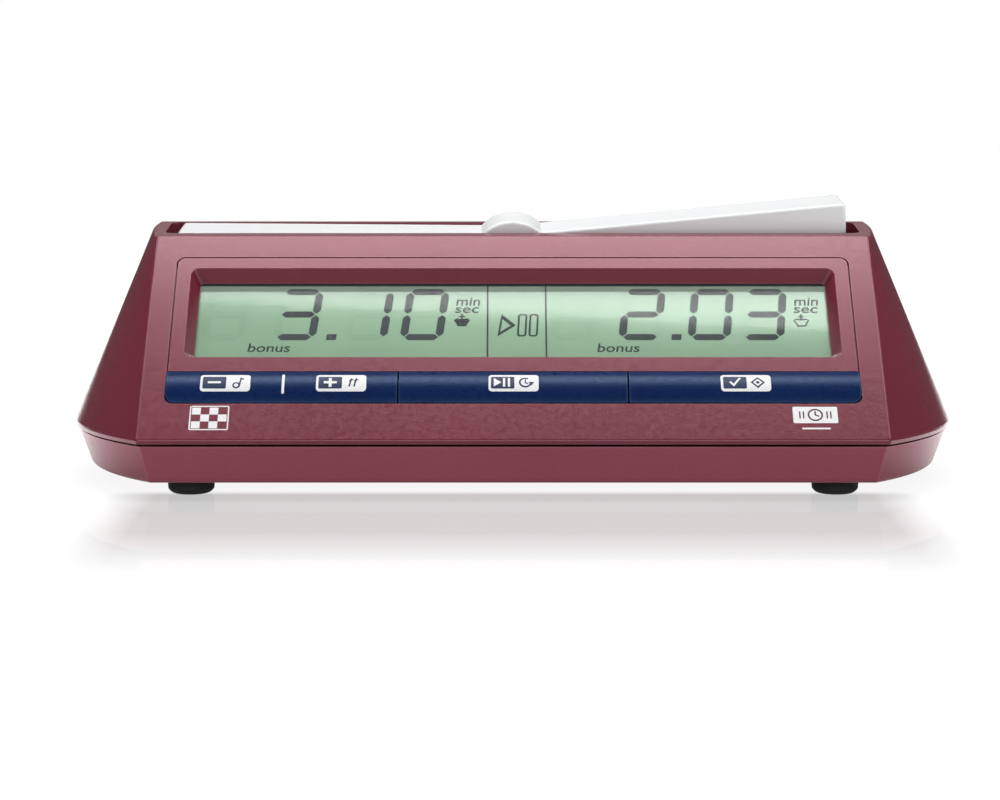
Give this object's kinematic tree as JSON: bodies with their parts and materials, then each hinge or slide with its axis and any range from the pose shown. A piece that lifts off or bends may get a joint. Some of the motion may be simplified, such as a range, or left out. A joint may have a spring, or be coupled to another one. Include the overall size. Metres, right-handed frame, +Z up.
{
  "type": "chess clock",
  "caption": "Wedge-shaped digital chess clock with a rocking lever on top, an inset display and a row of blue keys in its leaning front.",
  "frame": {"origin": "middle of the footprint, on the surface that the feet stand on", "axes": "+X along the clock to the right as seen from the front, +Y from front to back, +Z up"},
  "size_m": [0.228, 0.11, 0.0715],
  "materials": {
    "case_plastic": "burgundy, fine satin texture",
    "bezel_plastic": "burgundy, fine satin texture",
    "lever_plastic": "white, satin gloss",
    "key_plastic": "dark blue, fine grain",
    "clear_plastic": "clear, polished",
    "display_glass": "grey-green display",
    "frame_plastic": "moulded, off-white",
    "silicone": "soft, grey",
    "foot_rubber": "soft, black",
    "connector_rubber": "layered elastomer",
    "board": "lacquered circuit board",
    "chip_plastic": "moulded, black",
    "can_metal": "drawn can",
    "steel": "ground pin, plated",
    "screw_steel": "zinc plated",
    "contact_steel": "nickel plated strip",
    "magnet": "nickel plated",
    "cell_sleeve": "printed sleeve, plain",
    "button_plastic": "moulded, dark grey",
    "label_paper": "coated label, blank ruled lines"
  },
  "bodies": {
    "case": {"upper_housing": "case_plastic", "lower_housing": "case_plastic", "display_bezel": "bezel_plastic", "display_window": "clear_plastic", "lcd_panel": "display_glass", "lcd_frame": "frame_plastic", "lcd_connector_strips": "connector_rubber", "keypad_membrane": "silicone", "lever_pivot_pin": "steel", "lever_stop_pads": "silicone", "lever_sensors": "chip_plastic", "sensor_board": "board", "main_board": "board", "board_screws": "screw_steel", "processor_chip": "chip_plastic", "crystal": "can_metal", "capacitors": "can_metal", "buzzer": "button_plastic", "battery_cells": "cell_sleeve", "battery_contacts": "contact_steel", "battery_springs": "contact_steel", "power_switch": "button_plastic", "power_board": "board", "housing_screws": "screw_steel", "rubber_feet": "foot_rubber", "option_label": "label_paper"},
    "lever": {"rocker_lever": "lever_plastic", "lever_magnets": "magnet"},
    "minus_plus_rocker": {"minus_plus_key": "key_plastic"},
    "start_stop_button": {"start_stop_key": "key_plastic"},
    "confirm_button": {"confirm_key": "key_plastic"},
    "power_push": {"power_button": "button_plastic"},
    "door": {"battery_door": "case_plastic"}
  },
  "joints": [
    {"name": "lever_rock", "type": "hinge", "parent": "case", "child": "lever", "pos_m": [0, 0.00669, 0.05526], "axis": [0, 0.9947, 0.1028], "range_deg": [0, 5.02]},
    {"name": "minus_plus_rock", "type": "hinge", "parent": "case", "child": "minus_plus_rocker", "pos_m": [-0.05735, -0.04098, 0.02398], "axis": [0, 0.7071, 0.7071], "range_deg": [-1.5, 1.5], "stiffness_Nm_per_rad": 0.08},
    {"name": "start_stop_press", "type": "slide", "parent": "case", "child": "start_stop_button", "axis": [0, 0.7071, -0.7071], "range_m": [0, 0.0008], "stiffness_N_per_m": 800},
    {"name": "confirm_press", "type": "slide", "parent": "case", "child": "confirm_button", "axis": [0, 0.7071, -0.7071], "range_m": [0, 0.0008], "stiffness_N_per_m": 800},
    {"name": "power_press", "type": "slide", "parent": "case", "child": "power_push", "axis": [0, 0, 1], "range_m": [0, 0.001], "stiffness_N_per_m": 500},
    {"name": "door_slide", "type": "slide", "parent": "case", "child": "door", "axis": [0, 1, 0], "range_m": [0, 0.045]}
  ]
}
